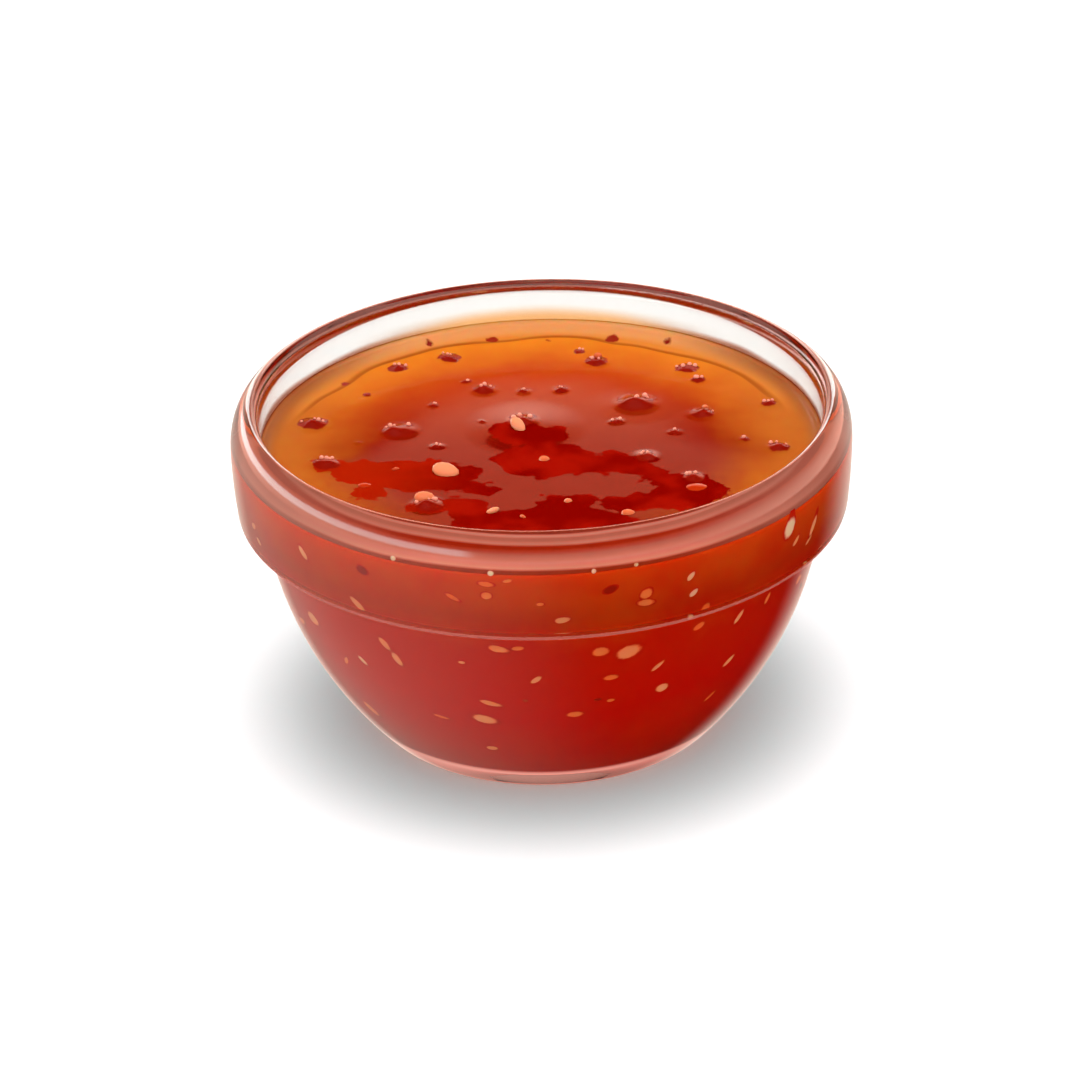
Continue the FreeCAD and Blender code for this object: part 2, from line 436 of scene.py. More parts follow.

# The band's lower edge touches the next bowl's rim in a stack. It is a little worn there, so it
# scatters some of the light in a soft pale line. The haze is painted pink, as a painted highlight
# in the sauce's colour.
worn_glass, tree = new_material("worn glass edge, painted highlight")
clear = add_node(
    tree,
    "BsdfPrincipled",
    {
        "Base Color": linear("ffffff"),
        "Roughness": 0.0,
        "IOR": GLASS_IOR,
        "Transmission Weight": 1.0,
    },
)
# Painted highlight: the worn haze has the pink of the sauce's light.
worn_haze_highlight = add_node(tree, "BsdfDiffuse", {"Color": linear(WORN_EDGE_HIGHLIGHT_PINK)})
edge_glass = add_node(tree, "MixShader", {"Fac": WORN_SHARE, "Shader": clear, "Shader_001": worn_haze_highlight})
shade = add_node(tree, "VolumeAbsorption", {"Color": linear(GLASS_SHADE), "Density": GLASS_DENSITY})
add_node(tree, "OutputMaterial", {"Surface": edge_glass, "Volume": shade})
bowl.data.materials.append(worn_glass)
for face in bowl.data.polygons:
    at_edge = BAND_BOTTOM - WORN_BELOW < face.center.z < BAND_BOTTOM + WORN_ABOVE
    if at_edge and math.hypot(face.center.x, face.center.y) > RIM_RADIUS - WORN_INWARD:
        face.material_index = 1
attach(bowl, "root")
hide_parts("bowl")

# ---- Sauce ----------------------------------------------------------------------------------------
# Sweet chili sauce: a translucent gel of sugar, starch and red chili, poured to a level below the
# rim. It creeps up the glass at its edge, and bubbles and seeds lift its skin into low lumps.
SAUCE_LEVEL = 34.9 * MM
CREEP_HEIGHT = 1.5 * MM  # how high the skin climbs the glass
CREEP_REACH = 0.65 * MM  # and how far from the glass that fades
INTO_GLASS = 0.1 * MM
SAUCE_TURN_STEPS = 384
SKIN_RING = 0.36 * MM
# Painted glow: the gel just over the glass foot gives off light, in place of light that the foot's glass
# gathers.
FOOT_PAINTED_GLOW = 0.8  # the light that the foot's glass gathers and throws back on the gel
RIPPLE_HEIGHT = 0.02 * MM
RIPPLE_WIDTH = 9 * MM
LUMPS_WITHIN = 31  # millimetres from the axis, as no lump stands up where the skin meets the glass
MOUNDS = [  # across, away from the camera, radius, height, in millimetres
    (-2.0, 5.5, 8.0, 0.38),
    (12.0, 11.0, 6.0, 0.1),
]
LUMPS = [  # across, away, radius of each bit of chili under the skin
    (-2.2, 6.5, 1.7),
    (11.9, 11.0, 2.3),
    (-17.4, 5.2, 1.9),
    (-28.0, 7.6, 1.8),
    (19.9, 7.7, 1.5),
    (7.2, 23.7, 1.5),
    (18.6, 20.8, 1.6),
    (19.9, 17.6, 1.0),
    (-11.6, 26.0, 1.5),
    (-17.9, 23.4, 1.1),
    (28.4, -2.0, 1.4),
    (-7.1, 16.2, 1.4),
    (12.6, -3.4, 1.3),
    (-13.4, -15.0, 1.7),
    (-26.0, -3.4, 1.6),
    (28.2, 10.2, 1.1),
    (17.9, -9.4, 1.2),
    (-24.6, 18.9, 0.8),
    (9.2, 6.1, 0.8),
    (24.6, 0.6, 0.6),
    (16.4, 2.9, 0.7),
    (-2.1, 15.5, 0.8),
    (2.7, 15.6, 0.9),
    (-9.2, 18.8, 0.6),
    (-13.3, 12.2, 0.6),
    (5.1, 27.0, 0.7),
    (-12.7, 0.6, 0.7),
    (-5.9, 30.9, 0.8),
    (9.2, 30.3, 0.8),
    (1.2, 30.4, 0.4),
    (16.2, 28.6, 0.5),
    (-14.0, 29.7, 0.5),
    (-21.6, 15.7, 0.5),
    (-22.2, 2.2, 0.5),
    (-7.2, 7.0, 0.4),
]
GAPS = [  # across, away, half width, half depth and turn of the gaps in the skin, which run together
    (-25.5, -3.8, 2.2, 1.9, 0),
    (-22.5, -6.0, 3.0, 3.6, -30),
    (-15.0, -7.2, 8.0, 4.2, -8),
    (-20.5, -11.0, 2.2, 2.4, 0),
    (-7.5, -10.5, 5.0, 1.9, -15),
    (-13.5, -15.0, 2.6, 2.0, 0),
    (-9.0, -16.0, 3.2, 2.6, -40),
    (-2.5, 3.2, 4.0, 3.2, 0),
    (1.5, 3.0, 2.2, 2.2, 0),
    (0.5, -4.0, 6.2, 5.0, 0),
    (9.0, -5.5, 3.8, 3.0, -30),
    (12.0, -8.0, 3.0, 2.6, -30),
    (16.5, -13.0, 5.0, 4.6, 15),
    (10.0, -15.5, 3.5, 2.6, 20),
    (3.0, -15.0, 3.3, 2.2, 0),
    (1.0, -25.0, 14.0, 9.0, 0),
]
ISLANDS = [  # and of the skin left standing in them
    (2.5, -10.4, 9.0, 2.3, 5),
    (-4.5, -14.0, 2.4, 3.0, -20),
    (9.5, -12.2, 3.0, 1.8, 15),
]

wall = inside[inside[:, 1] < SAUCE_LEVEL + CREEP_HEIGHT]
slope = np.gradient(wall, axis=0)
outward = np.stack([-slope[:, 1], slope[:, 0]], axis=1) / np.hypot(*slope.T)[:, None]
sinking_in = np.clip((wall[0, 1] - wall[:, 1]) / (0.8 * MM), 0, 1)
sauce_side = wall + outward * (INTO_GLASS * sinking_in)[:, None]
sauce_side[-1, 0] = 0.0
skin_edge = sauce_side[0]
skin_radii = steps(0, skin_edge[0], int(skin_edge[0] / SKIN_RING))
skin = np.array(
    [(r, SAUCE_LEVEL + CREEP_HEIGHT * math.exp((r - skin_edge[0]) / CREEP_REACH)) for r in skin_radii]
)
sauce_outline = list(skin[:-1]) + thinned(sauce_side, longest=0.6 * MM)
sauce = turned_piece("chili_sauce", sauce_outline, SAUCE_TURN_STEPS)

skin_group = sauce.vertex_groups.new(name="skin")
for vertex in sauce.data.vertices:
    reach = math.hypot(vertex.co.x, vertex.co.y)
    if vertex.co.z > SAUCE_LEVEL - SKIN_RING and reach < skin_edge[0] - 0.1 * MM:
        calm = min(1.0, (skin_edge[0] - reach) / (5 * MM))
        skin_group.add([vertex.index], calm, "REPLACE")
ripple = bpy.data.textures.new("ripple", "CLOUDS")
ripple.noise_scale = RIPPLE_WIDTH
ripple.noise_depth = 2
swell = sauce.modifiers.new("swell", "DISPLACE")
swell.texture = ripple
swell.texture_coords = "LOCAL"
swell.direction = "Z"
swell.strength = RIPPLE_HEIGHT
swell.mid_level = 0.5
swell.vertex_group = "skin"
bpy.ops.object.select_all(action="DESELECT")
sauce.select_set(True)
bpy.context.view_layer.objects.active = sauce
bpy.ops.object.modifier_apply(modifier="swell")

across_away = np.array([vertex.co.xy for vertex in sauce.data.vertices]) / MM
on_skin = np.array([vertex.co.z > SAUCE_LEVEL - SKIN_RING for vertex in sauce.data.vertices])
rng = random.Random(7)
shapes = list(MOUNDS)
for across, away, size in LUMPS:
    if math.hypot(across, away) > LUMPS_WITHIN:
        continue
    shapes.append((across, away, 1.45 * size, 0.21 * size))
    for _ in range(2):
        aside, deeper = rng.uniform(-0.5, 0.5) * size, rng.uniform(-0.5, 0.5) * size
        shapes.append((across + aside, away + deeper, 0.75 * size, 0.1 * size))
bpy.ops.object.mode_set(mode="EDIT")
bpy.ops.mesh.select_all(action="DESELECT")
for across, away, radius, height_up in shapes:
    distance = np.hypot(across_away[:, 0] - across, across_away[:, 1] - away) + 100.0 * ~on_skin
    edit = bmesh.from_edit_mesh(sauce.data)
    edit.verts.ensure_lookup_table()
    peak = edit.verts[int(distance.argmin())]
    peak.select_set(True)
    bmesh.update_edit_mesh(sauce.data)
    bpy.ops.transform.translate(
        value=(0, 0, height_up * MM),
        use_proportional_edit=True,
        proportional_edit_falloff="SMOOTH",
        proportional_size=radius * MM,
    )
    bpy.ops.mesh.select_all(action="DESELECT")
bpy.ops.object.mode_set(mode="OBJECT")


def depth_within(spots):
    """How many millimetres each corner of the sauce lies inside the nearest of some oval spots."""
    deepest = np.full(len(across_away), -4.0)
    for across, away, half_width, half_depth, turn in spots:
        turned = math.radians(turn)
        x = (across_away[:, 0] - across) * math.cos(turned) + (across_away[:, 1] - away) * math.sin(turned)
        y = (across_away[:, 1] - away) * math.cos(turned) - (across_away[:, 0] - across) * math.sin(turned)
        inside_spot = (1 - np.hypot(x / half_width, y / half_depth)) * min(half_width, half_depth)
        deepest = np.maximum(deepest, inside_spot)
    return deepest


gap_depth = np.minimum(depth_within(GAPS), -depth_within(ISLANDS))
sauce.data.attributes.new("gap", "FLOAT", "POINT").data.foreach_set("value", gap_depth)
chili_depth = depth_within([(across, away, size, size, 0) for across, away, size in LUMPS])
sauce.data.attributes.new("chili", "FLOAT", "POINT").data.foreach_set("value", chili_depth)

# The gel is deep red, and it glows a little, as light wanders some millimetres through it. Painted
# light and shade are in its colour: lighter towards the back, painted gold near the glass at the back
# and sides, a painted pale rim along the glass, and a painted dark line near the glass at the back.
# Its wet skin mirrors like syrup, except in the ragged gaps, and bits of dark red chili lie close under
# it.
skin_look, tree = new_material("chili sauce, wet skin")
place = add_node(tree, "TexCoord").outputs["Object"]
place_axes = add_node(tree, "SeparateXYZ", {"Vector": place})
flat_place = add_node(tree, "VectorMath", {0: place, 1: (1, 1, 0)}, operation="MULTIPLY")
from_axis = add_node(tree, "VectorMath", {0: flat_place}, operation="LENGTH").outputs["Value"]
clouds = add_node(tree, "TexNoise", {"Vector": place, "Scale": 1 / (7 * MM), "Detail": 2.0})
wander = add_node(tree, "Math", [clouds.outputs["Fac"], 6 * MM, -3 * MM], operation="MULTIPLY_ADD")
wandered = add_node(tree, "Math", [from_axis, wander], operation="ADD")
# Painted light from behind: the deep red turns lighter towards the back.
painted_backlight_share = add_node(
    tree, "MapRange", [place_axes.outputs["Y"], -4 * MM, 24 * MM], interpolation_type="SMOOTHSTEP"
)
deep = add_node(
    tree,
    "Mix",
    {"Factor": painted_backlight_share, "A_Color": linear("760200"), "B_Color": linear("a43008")},
    data_type="RGBA",
)
wide_edge = add_node(
    tree, "MapRange", [wandered, 19 * MM, MOUTH_RADIUS + 1 * MM], interpolation_type="SMOOTHSTEP"
)
past_front = add_node(
    tree, "MapRange", [place_axes.outputs["Y"], -26 * MM, -8 * MM], interpolation_type="SMOOTHSTEP"
)
aside = add_node(tree, "Math", {0: place_axes.outputs["X"]}, operation="ABSOLUTE")
# Painted light from behind: gold near the glass at the back and sides, browner at the sides.
gold = add_node(
    tree,
    "Mix",
    {
        "Factor": add_node(tree, "MapRange", [aside, 18 * MM, 33 * MM], interpolation_type="SMOOTHSTEP"),
        "A_Color": linear("cc7018"),
        "B_Color": linear("b05c1c"),
    },
    data_type="RGBA",
)
golden = add_node(
    tree,
    "Mix",
    {
        "Factor": add_node(tree, "Math", [wide_edge, past_front], operation="MULTIPLY"),
        "A_Color": deep,
        "B_Color": gold,
    },
    data_type="RGBA",
)
narrow_edge = add_node(
    tree, "MapRange", [from_axis, MOUTH_RADIUS - 2.5 * MM, MOUTH_RADIUS], interpolation_type="SMOOTHSTEP"
)
# Painted light along the glass: a pale pink rim in front and a pale gold rim at the back, palest in the
# middle of the back.
painted_pale_back_rim = add_node(
    tree,
    "Mix",
    {
        "Factor": add_node(tree, "MapRange", [aside, 14 * MM, 31 * MM], interpolation_type="SMOOTHSTEP"),
        "A_Color": linear("e4a468"),
        "B_Color": linear("9c5830"),
    },
    data_type="RGBA",
)
painted_rim_colour = add_node(
    tree,
    "Mix",
    {"Factor": past_front, "A_Color": linear("d8583a"), "B_Color": painted_pale_back_rim},
    data_type="RGBA",
)
dark_line_waves = add_node(tree, "TexNoise", {"Vector": place, "Scale": 1 / (11 * MM), "Detail": 1.0})
dark_line_wander = add_node(
    tree, "Math", [dark_line_waves.outputs["Fac"], 3 * MM, -1.5 * MM], operation="MULTIPLY_ADD"
)
dark_line_radius = add_node(tree, "Math", [from_axis, dark_line_wander], operation="ADD")
# Painted shade and light at the back: a thin wavy dark line a few millimetres from the glass, and painted
# gold between it and the glass.
at_back = add_node(
    tree,
    "MapRange",
    [place_axes.outputs["Y"], 6 * MM, 14 * MM, 0.0, 0.8],
    interpolation_type="SMOOTHSTEP",
)
past_dark_line = add_node(
    tree,
    "Math",
    [
        at_back,
        add_node(tree, "MapRange", [dark_line_radius, 30.7 * MM, 31.0 * MM], interpolation_type="SMOOTHSTEP"),
    ],
    operation="MULTIPLY",
)
on_painted_dark_line = add_node(
    tree,
    "Math",
    [
        past_dark_line,
        add_node(tree, "MapRange", [dark_line_radius, 31.9 * MM, 31.2 * MM], interpolation_type="SMOOTHSTEP"),
    ],
    operation="MULTIPLY",
)
painted_gold_by_glass = add_node(
    tree, "Mix", {"Factor": past_dark_line, "A_Color": golden, "B_Color": linear("c8722a")}, data_type="RGBA"
)
with_painted_dark_line = add_node(
    tree, "Mix", {"Factor": on_painted_dark_line, "A_Color": painted_gold_by_glass, "B_Color": linear("8c3c06")}, data_type="RGBA"
)
gel_with_painted_light = add_node(
    tree, "Mix", {"Factor": narrow_edge, "A_Color": with_painted_dark_line, "B_Color": painted_rim_colour}, data_type="RGBA"
)
ragged = add_node(tree, "TexNoise", {"Vector": place, "Scale": 1 / (2.6 * MM), "Detail": 4.0})
gap = add_node(tree, "Attribute", attribute_name="gap").outputs["Fac"]
ragged_gap = add_node(
    tree,
    "Math",
    [add_node(tree, "Math", [ragged.outputs["Fac"], 0.5], operation="SUBTRACT"), 4.5, gap],
    operation="MULTIPLY_ADD",
)
in_gap = add_node(tree, "MapRange", [ragged_gap, -0.1, 0.15], interpolation_type="SMOOTHSTEP")
chili = add_node(tree, "Attribute", attribute_name="chili").outputs["Fac"]
ragged_chili = add_node(
    tree,
    "Math",
    [add_node(tree, "Math", [ragged.outputs["Fac"], 0.5], operation="SUBTRACT"), 2.0, chili],
    operation="MULTIPLY_ADD",
)
in_chili = add_node(tree, "MapRange", [ragged_chili, -0.1, 0.25], interpolation_type="SMOOTHSTEP")
deep_gel = add_node(
    tree,
    "Mix",
    {
        "Factor": add_node(
            tree, "MapRange", [clouds.outputs["Fac"], 0.4, 0.62], interpolation_type="SMOOTHSTEP"
        ),
        "A_Color": linear("700200"),
        "B_Color": linear("8a0a02"),
    },
    data_type="RGBA",
)
bare_gel = add_node(
    tree,
    "Mix",
    {
        "Factor": add_node(
            tree,
            "MapRange",
            [place_axes.outputs["X"], -6 * MM, -24 * MM],
            interpolation_type="SMOOTHSTEP",
        ),
        "A_Color": deep_gel,
        "B_Color": linear("941602"),
    },
    data_type="RGBA",
)
colour = add_node(
    tree,
    "Mix",
    {
        "Factor": in_chili,
        "A_Color": add_node(
            tree, "Mix", {"Factor": in_gap, "A_Color": gel_with_painted_light, "B_Color": bare_gel}, data_type="RGBA"
        ),
        "B_Color": linear("861004"),
    },
    data_type="RGBA",
)
toward_edge = add_node(
    tree,
    "Math",
    [
        add_node(
            tree, "MapRange", [place_axes.outputs["Y"], 4 * MM, -8 * MM], interpolation_type="SMOOTHSTEP"
        ),
        -8 * MM,
        wandered,
    ],
    operation="MULTIPLY_ADD",
)
dull = add_node(
    tree,
    "Math",
    [
        in_gap,
        add_node(
            tree, "MapRange", [toward_edge, 13 * MM, 21.5 * MM, 0.0, 0.9], interpolation_type="SMOOTHSTEP"
        ),
    ],
    operation="MAXIMUM",
)
dull_share = add_node(
    tree,
    "Math",
    [dull, add_node(tree, "Math", [1.0, in_chili], operation="SUBTRACT")],
    operation="MULTIPLY",
)
gels = [
    add_node(
        tree,
        "BsdfPrincipled",
        {
            "Base Color": colour,
            "Roughness": 0.05,
            "IOR": 1.42,
            "Specular IOR Level": gloss,
            "Subsurface Weight": 1.0,
            "Subsurface Radius": (1.0, 0.25, 0.1),
            "Subsurface Scale": 1.0 * MM,
        },
    )
    for gloss in (0.5, 0.0)
]
gel = add_node(tree, "MixShader", {"Fac": dull_share, "Shader": gels[0], "Shader_001": gels[1]})
add_node(tree, "OutputMaterial", {"Surface": gel})
sauce.data.materials.append(skin_look)

# Pressed against the glass the same gel has no skin and no gloss of its own. It is paler and cloudy
# near the top, and deep red lower down, painted a little lighter again at the bottom against the
# shade there. Just over the foot it has a painted glow.
side_look, tree = new_material("chili sauce, against glass")
place = add_node(tree, "TexCoord").outputs["Object"]
place_axes = add_node(tree, "SeparateXYZ", {"Vector": place})
clouds = add_node(tree, "TexNoise", {"Vector": place, "Scale": 1 / (9 * MM), "Detail": 3.0})
wander = add_node(tree, "Math", [clouds.outputs["Fac"], 18 * MM, -9 * MM], operation="MULTIPLY_ADD")
wandered = add_node(tree, "Math", [place_axes.outputs["Z"], wander], operation="ADD")
sockets = {"Value": wandered, "From Min": BASE_THICKNESS, "From Max": SAUCE_LEVEL}
by_height = add_node(tree, "ValToRGB", {"Fac": add_node(tree, "MapRange", sockets)})
ramp = by_height.color_ramp
# Painted light: the lowest stop is lighter than the middle, against the shade that falls low on the gel.
ramp.elements[0].color = linear("ea2c06")
ramp.elements[1].color = linear("e84c0e")
for position, colour in ((0.35, "e61504"), (0.7, "e22204")):
    ramp.elements.new(position).color = linear(colour)
# Painted glow: emission on the gel just over the base.
foot_share = add_node(
    tree,
    "MapRange",
    [place_axes.outputs["Z"], BASE_THICKNESS + 0.9 * MM, BASE_THICKNESS + 0.1 * MM],
    interpolation_type="SMOOTHSTEP",
)
foot_glow = add_node(
    tree,
    "Mix",
    {"Factor": foot_share, "A_Color": linear("000000"), "B_Color": linear("ffb8a8")},
    data_type="RGBA",
)
side_gel = add_node(
    tree,
    "BsdfPrincipled",
    {
        "Base Color": by_height,
        "Emission Color": foot_glow,
        "Emission Strength": FOOT_PAINTED_GLOW,
        "Roughness": 0.6,
        "Specular IOR Level": 0.0,
        "Subsurface Weight": 1.0,
        "Subsurface Radius": (1.0, 0.25, 0.1),
        "Subsurface Scale": 1.0 * MM,
    },
)
add_node(tree, "OutputMaterial", {"Surface": side_gel})
sauce.data.materials.append(side_look)
for face in sauce.data.polygons:
    face.material_index = 0 if face.normal.z > 0.3 else 1
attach(sauce, "root")
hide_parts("sauce")

# ---- Film on the glass ----------------------------------------------------------------------------
# Where the sauce has slid back down the glass it leaves a thin, clinging film above its edge, which
# thins out upwards.
FILM_LOW = SAUCE_LEVEL + CREEP_HEIGHT - 0.3 * MM
FILM_TOP = 40.6 * MM
FILM_INTO_GLASS = 0.04 * MM
FILM_THICKNESS = 0.1 * MM

upward = inside[::-1]
film_outline = [
    (np.interp(z, upward[:, 1], upward[:, 0]) + FILM_INTO_GLASS, z) for z in steps(FILM_LOW, FILM_TOP)
]
film_outline += [(r - FILM_THICKNESS, z) for r, z in film_outline[::-1]]
film = turned_piece("sauce_film", film_outline + film_outline[:1], GLASS_TURN_STEPS)

# A smear of sauce is a coloured filter, golden at the back and browner at the sides. Under the lip in
# front it is thicker, a pale pink gel, painted in level bands of light and dark that stand in for the
# lip's highlights and reflections.
film_look, tree = new_material("smeared chili sauce film")
place = add_node(tree, "TexCoord").outputs["Object"]
place_axes = add_node(tree, "SeparateXYZ", {"Vector": place})
smears = add_node(tree, "TexNoise", {"Vector": place, "Scale": 1 / (14 * MM), "Detail": 1.0})
wander = add_node(tree, "Math", [smears.outputs["Fac"], 1.0 * MM, -0.5 * MM], operation="MULTIPLY_ADD")
wandered = add_node(tree, "Math", [wander, place_axes.outputs["Z"]], operation="ADD")
aside = add_node(tree, "Math", {0: place_axes.outputs["X"]}, operation="ABSOLUTE")
at_sides = add_node(tree, "MapRange", [aside, 8 * MM, 26 * MM], interpolation_type="SMOOTHSTEP")
soft_share = add_node(tree, "MapRange", [wandered, 38.6 * MM, 36.4 * MM], interpolation_type="SMOOTHSTEP")
crisp_share = add_node(
    tree, "MapRange", [wandered, 37.4 * MM, 36.5 * MM], interpolation_type="SMOOTHSTEP"
)
tinted_share = add_node(
    tree, "Mix", {"Factor": at_sides, "A_Color": soft_share, "B_Color": crisp_share}, data_type="RGBA"
)
filter_colour = add_node(
    tree,
    "Mix",
    {"Factor": at_sides, "A_Color": linear("f0cca4"), "B_Color": linear("c8a090")},
    data_type="RGBA",
)
tint = add_node(
    tree,
    "Mix",
    {"Factor": tinted_share, "A_Color": linear("f2f0ee"), "B_Color": filter_colour},
    data_type="RGBA",
)
tinted = add_node(tree, "BsdfTransparent", {"Color": tint})
# Painted highlights and reflections: level bands of pale pink and dark red along the front film.
waved = add_node(tree, "Math", [wander, 0.3, place_axes.outputs["Z"]], operation="MULTIPLY_ADD")
sockets = {"Value": waved, "From Min": FILM_LOW, "From Max": FILM_TOP}
bands = add_node(tree, "ValToRGB", {"Fac": add_node(tree, "MapRange", sockets)})
ramp = bands.color_ramp
ramp.elements[0].color = linear("a43a1c")
ramp.elements[1].color = linear("a04028")
for height_up, colour in (
    (36.45, "a43a1c"),
    (36.75, "d79d84"),
    (37.2, "c98674"),
    (37.6, "b86a54"),
    (38.15, "aa4c32"),
    (38.4, "a82c10"),
    (39.0, "a83010"),
    (39.25, "cc907a"),
    (39.55, "b47460"),
    (39.75, "b47460"),
    (39.95, "d79d88"),
    (40.2, "a04028"),
):
    ramp.elements.new((height_up * MM - FILM_LOW) / (FILM_TOP - FILM_LOW)).color = linear(colour)
at_sides = add_node(
    tree, "MapRange", [aside, 12 * MM, 32 * MM, 0.0, 0.75], interpolation_type="SMOOTHSTEP"
)
bands = add_node(
    tree, "Mix", {"Factor": at_sides, "A_Color": bands, "B_Color": linear("b07e6c")}, data_type="RGBA"
)
facing_out = add_node(tree, "BsdfDiffuse", {"Color": bands})
let_through = add_node(tree, "BsdfTranslucent", {"Color": bands})
gel_band = add_node(tree, "AddShader", {"Shader": facing_out, "Shader_001": let_through})
film_front = add_node(
    tree, "MapRange", [place_axes.outputs["Y"], 4 * MM, -12 * MM], interpolation_type="SMOOTHSTEP"
)
looks = add_node(tree, "MixShader", {"Fac": film_front, "Shader": tinted, "Shader_001": gel_band})
add_node(tree, "OutputMaterial", {"Surface": looks})
film.data.materials.append(film_look)
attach(film, "root")
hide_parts("sauce")

# ---- Seeds against the glass ----------------------------------------------------------------------
# Flat, pale chili seeds and scraps of flesh that have come to lie against the glass, in place by
# place as they settled. The far side has as many, strewn at random.
WALL_SEEDS = [  # degrees round, height, length, width, turn, paleness
    (-100, 36.2, 0.8, 0.7, 0, 1.0),
    (-81, 36.2, 0.6, 0.6, 0, 1.0),
    (-119, 36.4, 0.8, 0.7, 0, 1.0),
    (-73, 36.3, 0.6, 0.5, 0, 0.9),
    (-101, 34.9, 2.0, 0.8, -5, 0.5),
    (-97, 35.4, 1.2, 0.5, 10, 0.6),
    (-101, 33.4, 1.4, 1.1, 0, 0.6),
    (-107.5, 32.8, 2.0, 0.7, -30, 0.45),
    (-91, 32.4, 1.0, 0.6, 0, 0.55),
    (-87, 30.0, 1.8, 1.1, 10, 0.75),
    (-100, 25.0, 2.6, 1.1, -10, 0.65),
    (-96, 25.2, 1.6, 0.7, 5, 0.5),
    (-79, 24.2, 2.1, 1.5, 0, 0.6),
    (-73, 23.6, 3.2, 2.0, 15, 0.7),
    (-71, 32.4, 1.7, 1.5, 40, 0.6),
    (-71, 31.2, 2.2, 1.2, -10, 0.6),
    (-62, 33.4, 1.4, 0.8, 50, 0.85),
    (-61, 31.0, 1.4, 0.9, 50, 0.9),
    (-57.6, 28.3, 1.6, 1.2, 60, 0.45),
    (-37.6, 34.4, 2.7, 2.0, 60, 1.0),
    (-29, 32.4, 2.8, 1.0, 65, 0.8),
    (-35, 32.1, 1.6, 0.8, 50, 0.75),
    (-46, 23.8, 2.2, 0.8, 50, 0.8),
    (-37, 24.2, 1.6, 0.8, 60, 0.6),
    (-57, 24.8, 1.7, 1.0, 20, 0.5),
    (-46, 17.5, 2.0, 0.9, 40, 0.8),
    (-48, 12.5, 2.0, 0.7, 45, 0.45),
    (-92.5, 20.6, 1.7, 0.8, 40, 0.75),
    (-66, 20.6, 2.1, 0.7, 40, 0.7),
    (-64, 17.0, 1.7, 1.5, 0, 0.8),
    (-76.5, 20.2, 1.9, 0.9, 0, 0.5),
    (-84, 14.9, 2.0, 1.1, 0, 0.55),
    (-76, 16.6, 1.0, 0.6, 0, 0.5),
    (-105, 13.9, 3.0, 1.7, -15, 0.75),
    (-103, 16.7, 2.7, 0.9, -15, 0.7),
    (-105, 8.6, 1.5, 1.0, 0, 0.7),
    (-116, 13.2, 2.2, 0.6, -10, 0.45),
    (-129, 28.9, 2.4, 1.0, -45, 0.75),
    (-126, 23.0, 2.2, 1.0, -50, 0.7),
    (-123.5, 21.2, 2.2, 1.1, -60, 0.75),
    (-134, 19.0, 1.6, 0.7, -40, 0.9),
    (-108, 22.6, 1.0, 0.5, 0, 0.75),
    (-78, 33.7, 1.8, 1.1, 20, 0.0),
    (-126, 34.0, 1.7, 1.2, -20, 0.0),
    (-79, 17.0, 0.9, 0.5, 0, 0.0),
    (-95, 17.4, 0.7, 0.5, 0, 0.1),
]
SEED_THICKNESS = 0.9
SEED_SHOWS = 0.12  # how far a seed's face stands out of the gel, into its thin film on the glass
SEED_PAINTED_GLOW = 0.22
STREWN_COUNT = 90
STREWN_HEIGHTS = (7, 33.5)
wall_heights, wall_radii = sauce_side[::-1, 1] / MM, sauce_side[::-1, 0] / MM


def copied(master, matrix):
    """A copy with a mesh of its own, moved into place."""
    copy = master.copy()
    copy.data = master.data.copy()
    copy.data.transform(matrix)
    bpy.context.scene.collection.objects.link(copy)
    return copy


def joined(name, pieces):
    """Many pieces made into one object."""
    bpy.ops.object.select_all(action="DESELECT")
    for piece in pieces:
        piece.select_set(True)
    bpy.context.view_layer.objects.active = pieces[0]
    bpy.ops.object.join()
    whole = bpy.context.object
    whole.name = whole.data.name = name
    return whole


def paint_flat(piece, name, value):
    """One value on every corner of a mesh."""
    values = [value] * len(piece.data.vertices)
    piece.data.attributes.new(name, "FLOAT", "POINT").data.foreach_set("value", values)


bpy.ops.object.select_all(action="DESELECT")
bpy.ops.mesh.primitive_uv_sphere_add(segments=12, ring_count=8, radius=0.5, location=(0, 0, 0))
seed = bpy.context.object
seed.name = "seed"
bpy.ops.object.mode_set(mode="EDIT")
edit = bmesh.from_edit_mesh(seed.data)
bpy.ops.mesh.select_all(action="DESELECT")
tip = max(edit.verts, key=lambda vertex: vertex.co.x)
tip.select_set(True)
bmesh.update_edit_mesh(seed.data)
bpy.ops.transform.translate(
    value=(0.12, 0.05, 0),
    use_proportional_edit=True,
    proportional_edit_falloff="SMOOTH",
    proportional_size=0.7,
)
bpy.ops.object.mode_set(mode="OBJECT")
bpy.ops.object.shade_smooth()
raised = [2 * vertex.co.z for vertex in seed.data.vertices]
seed.data.attributes.new("raised", "FLOAT", "POINT").data.foreach_set("value", raised)

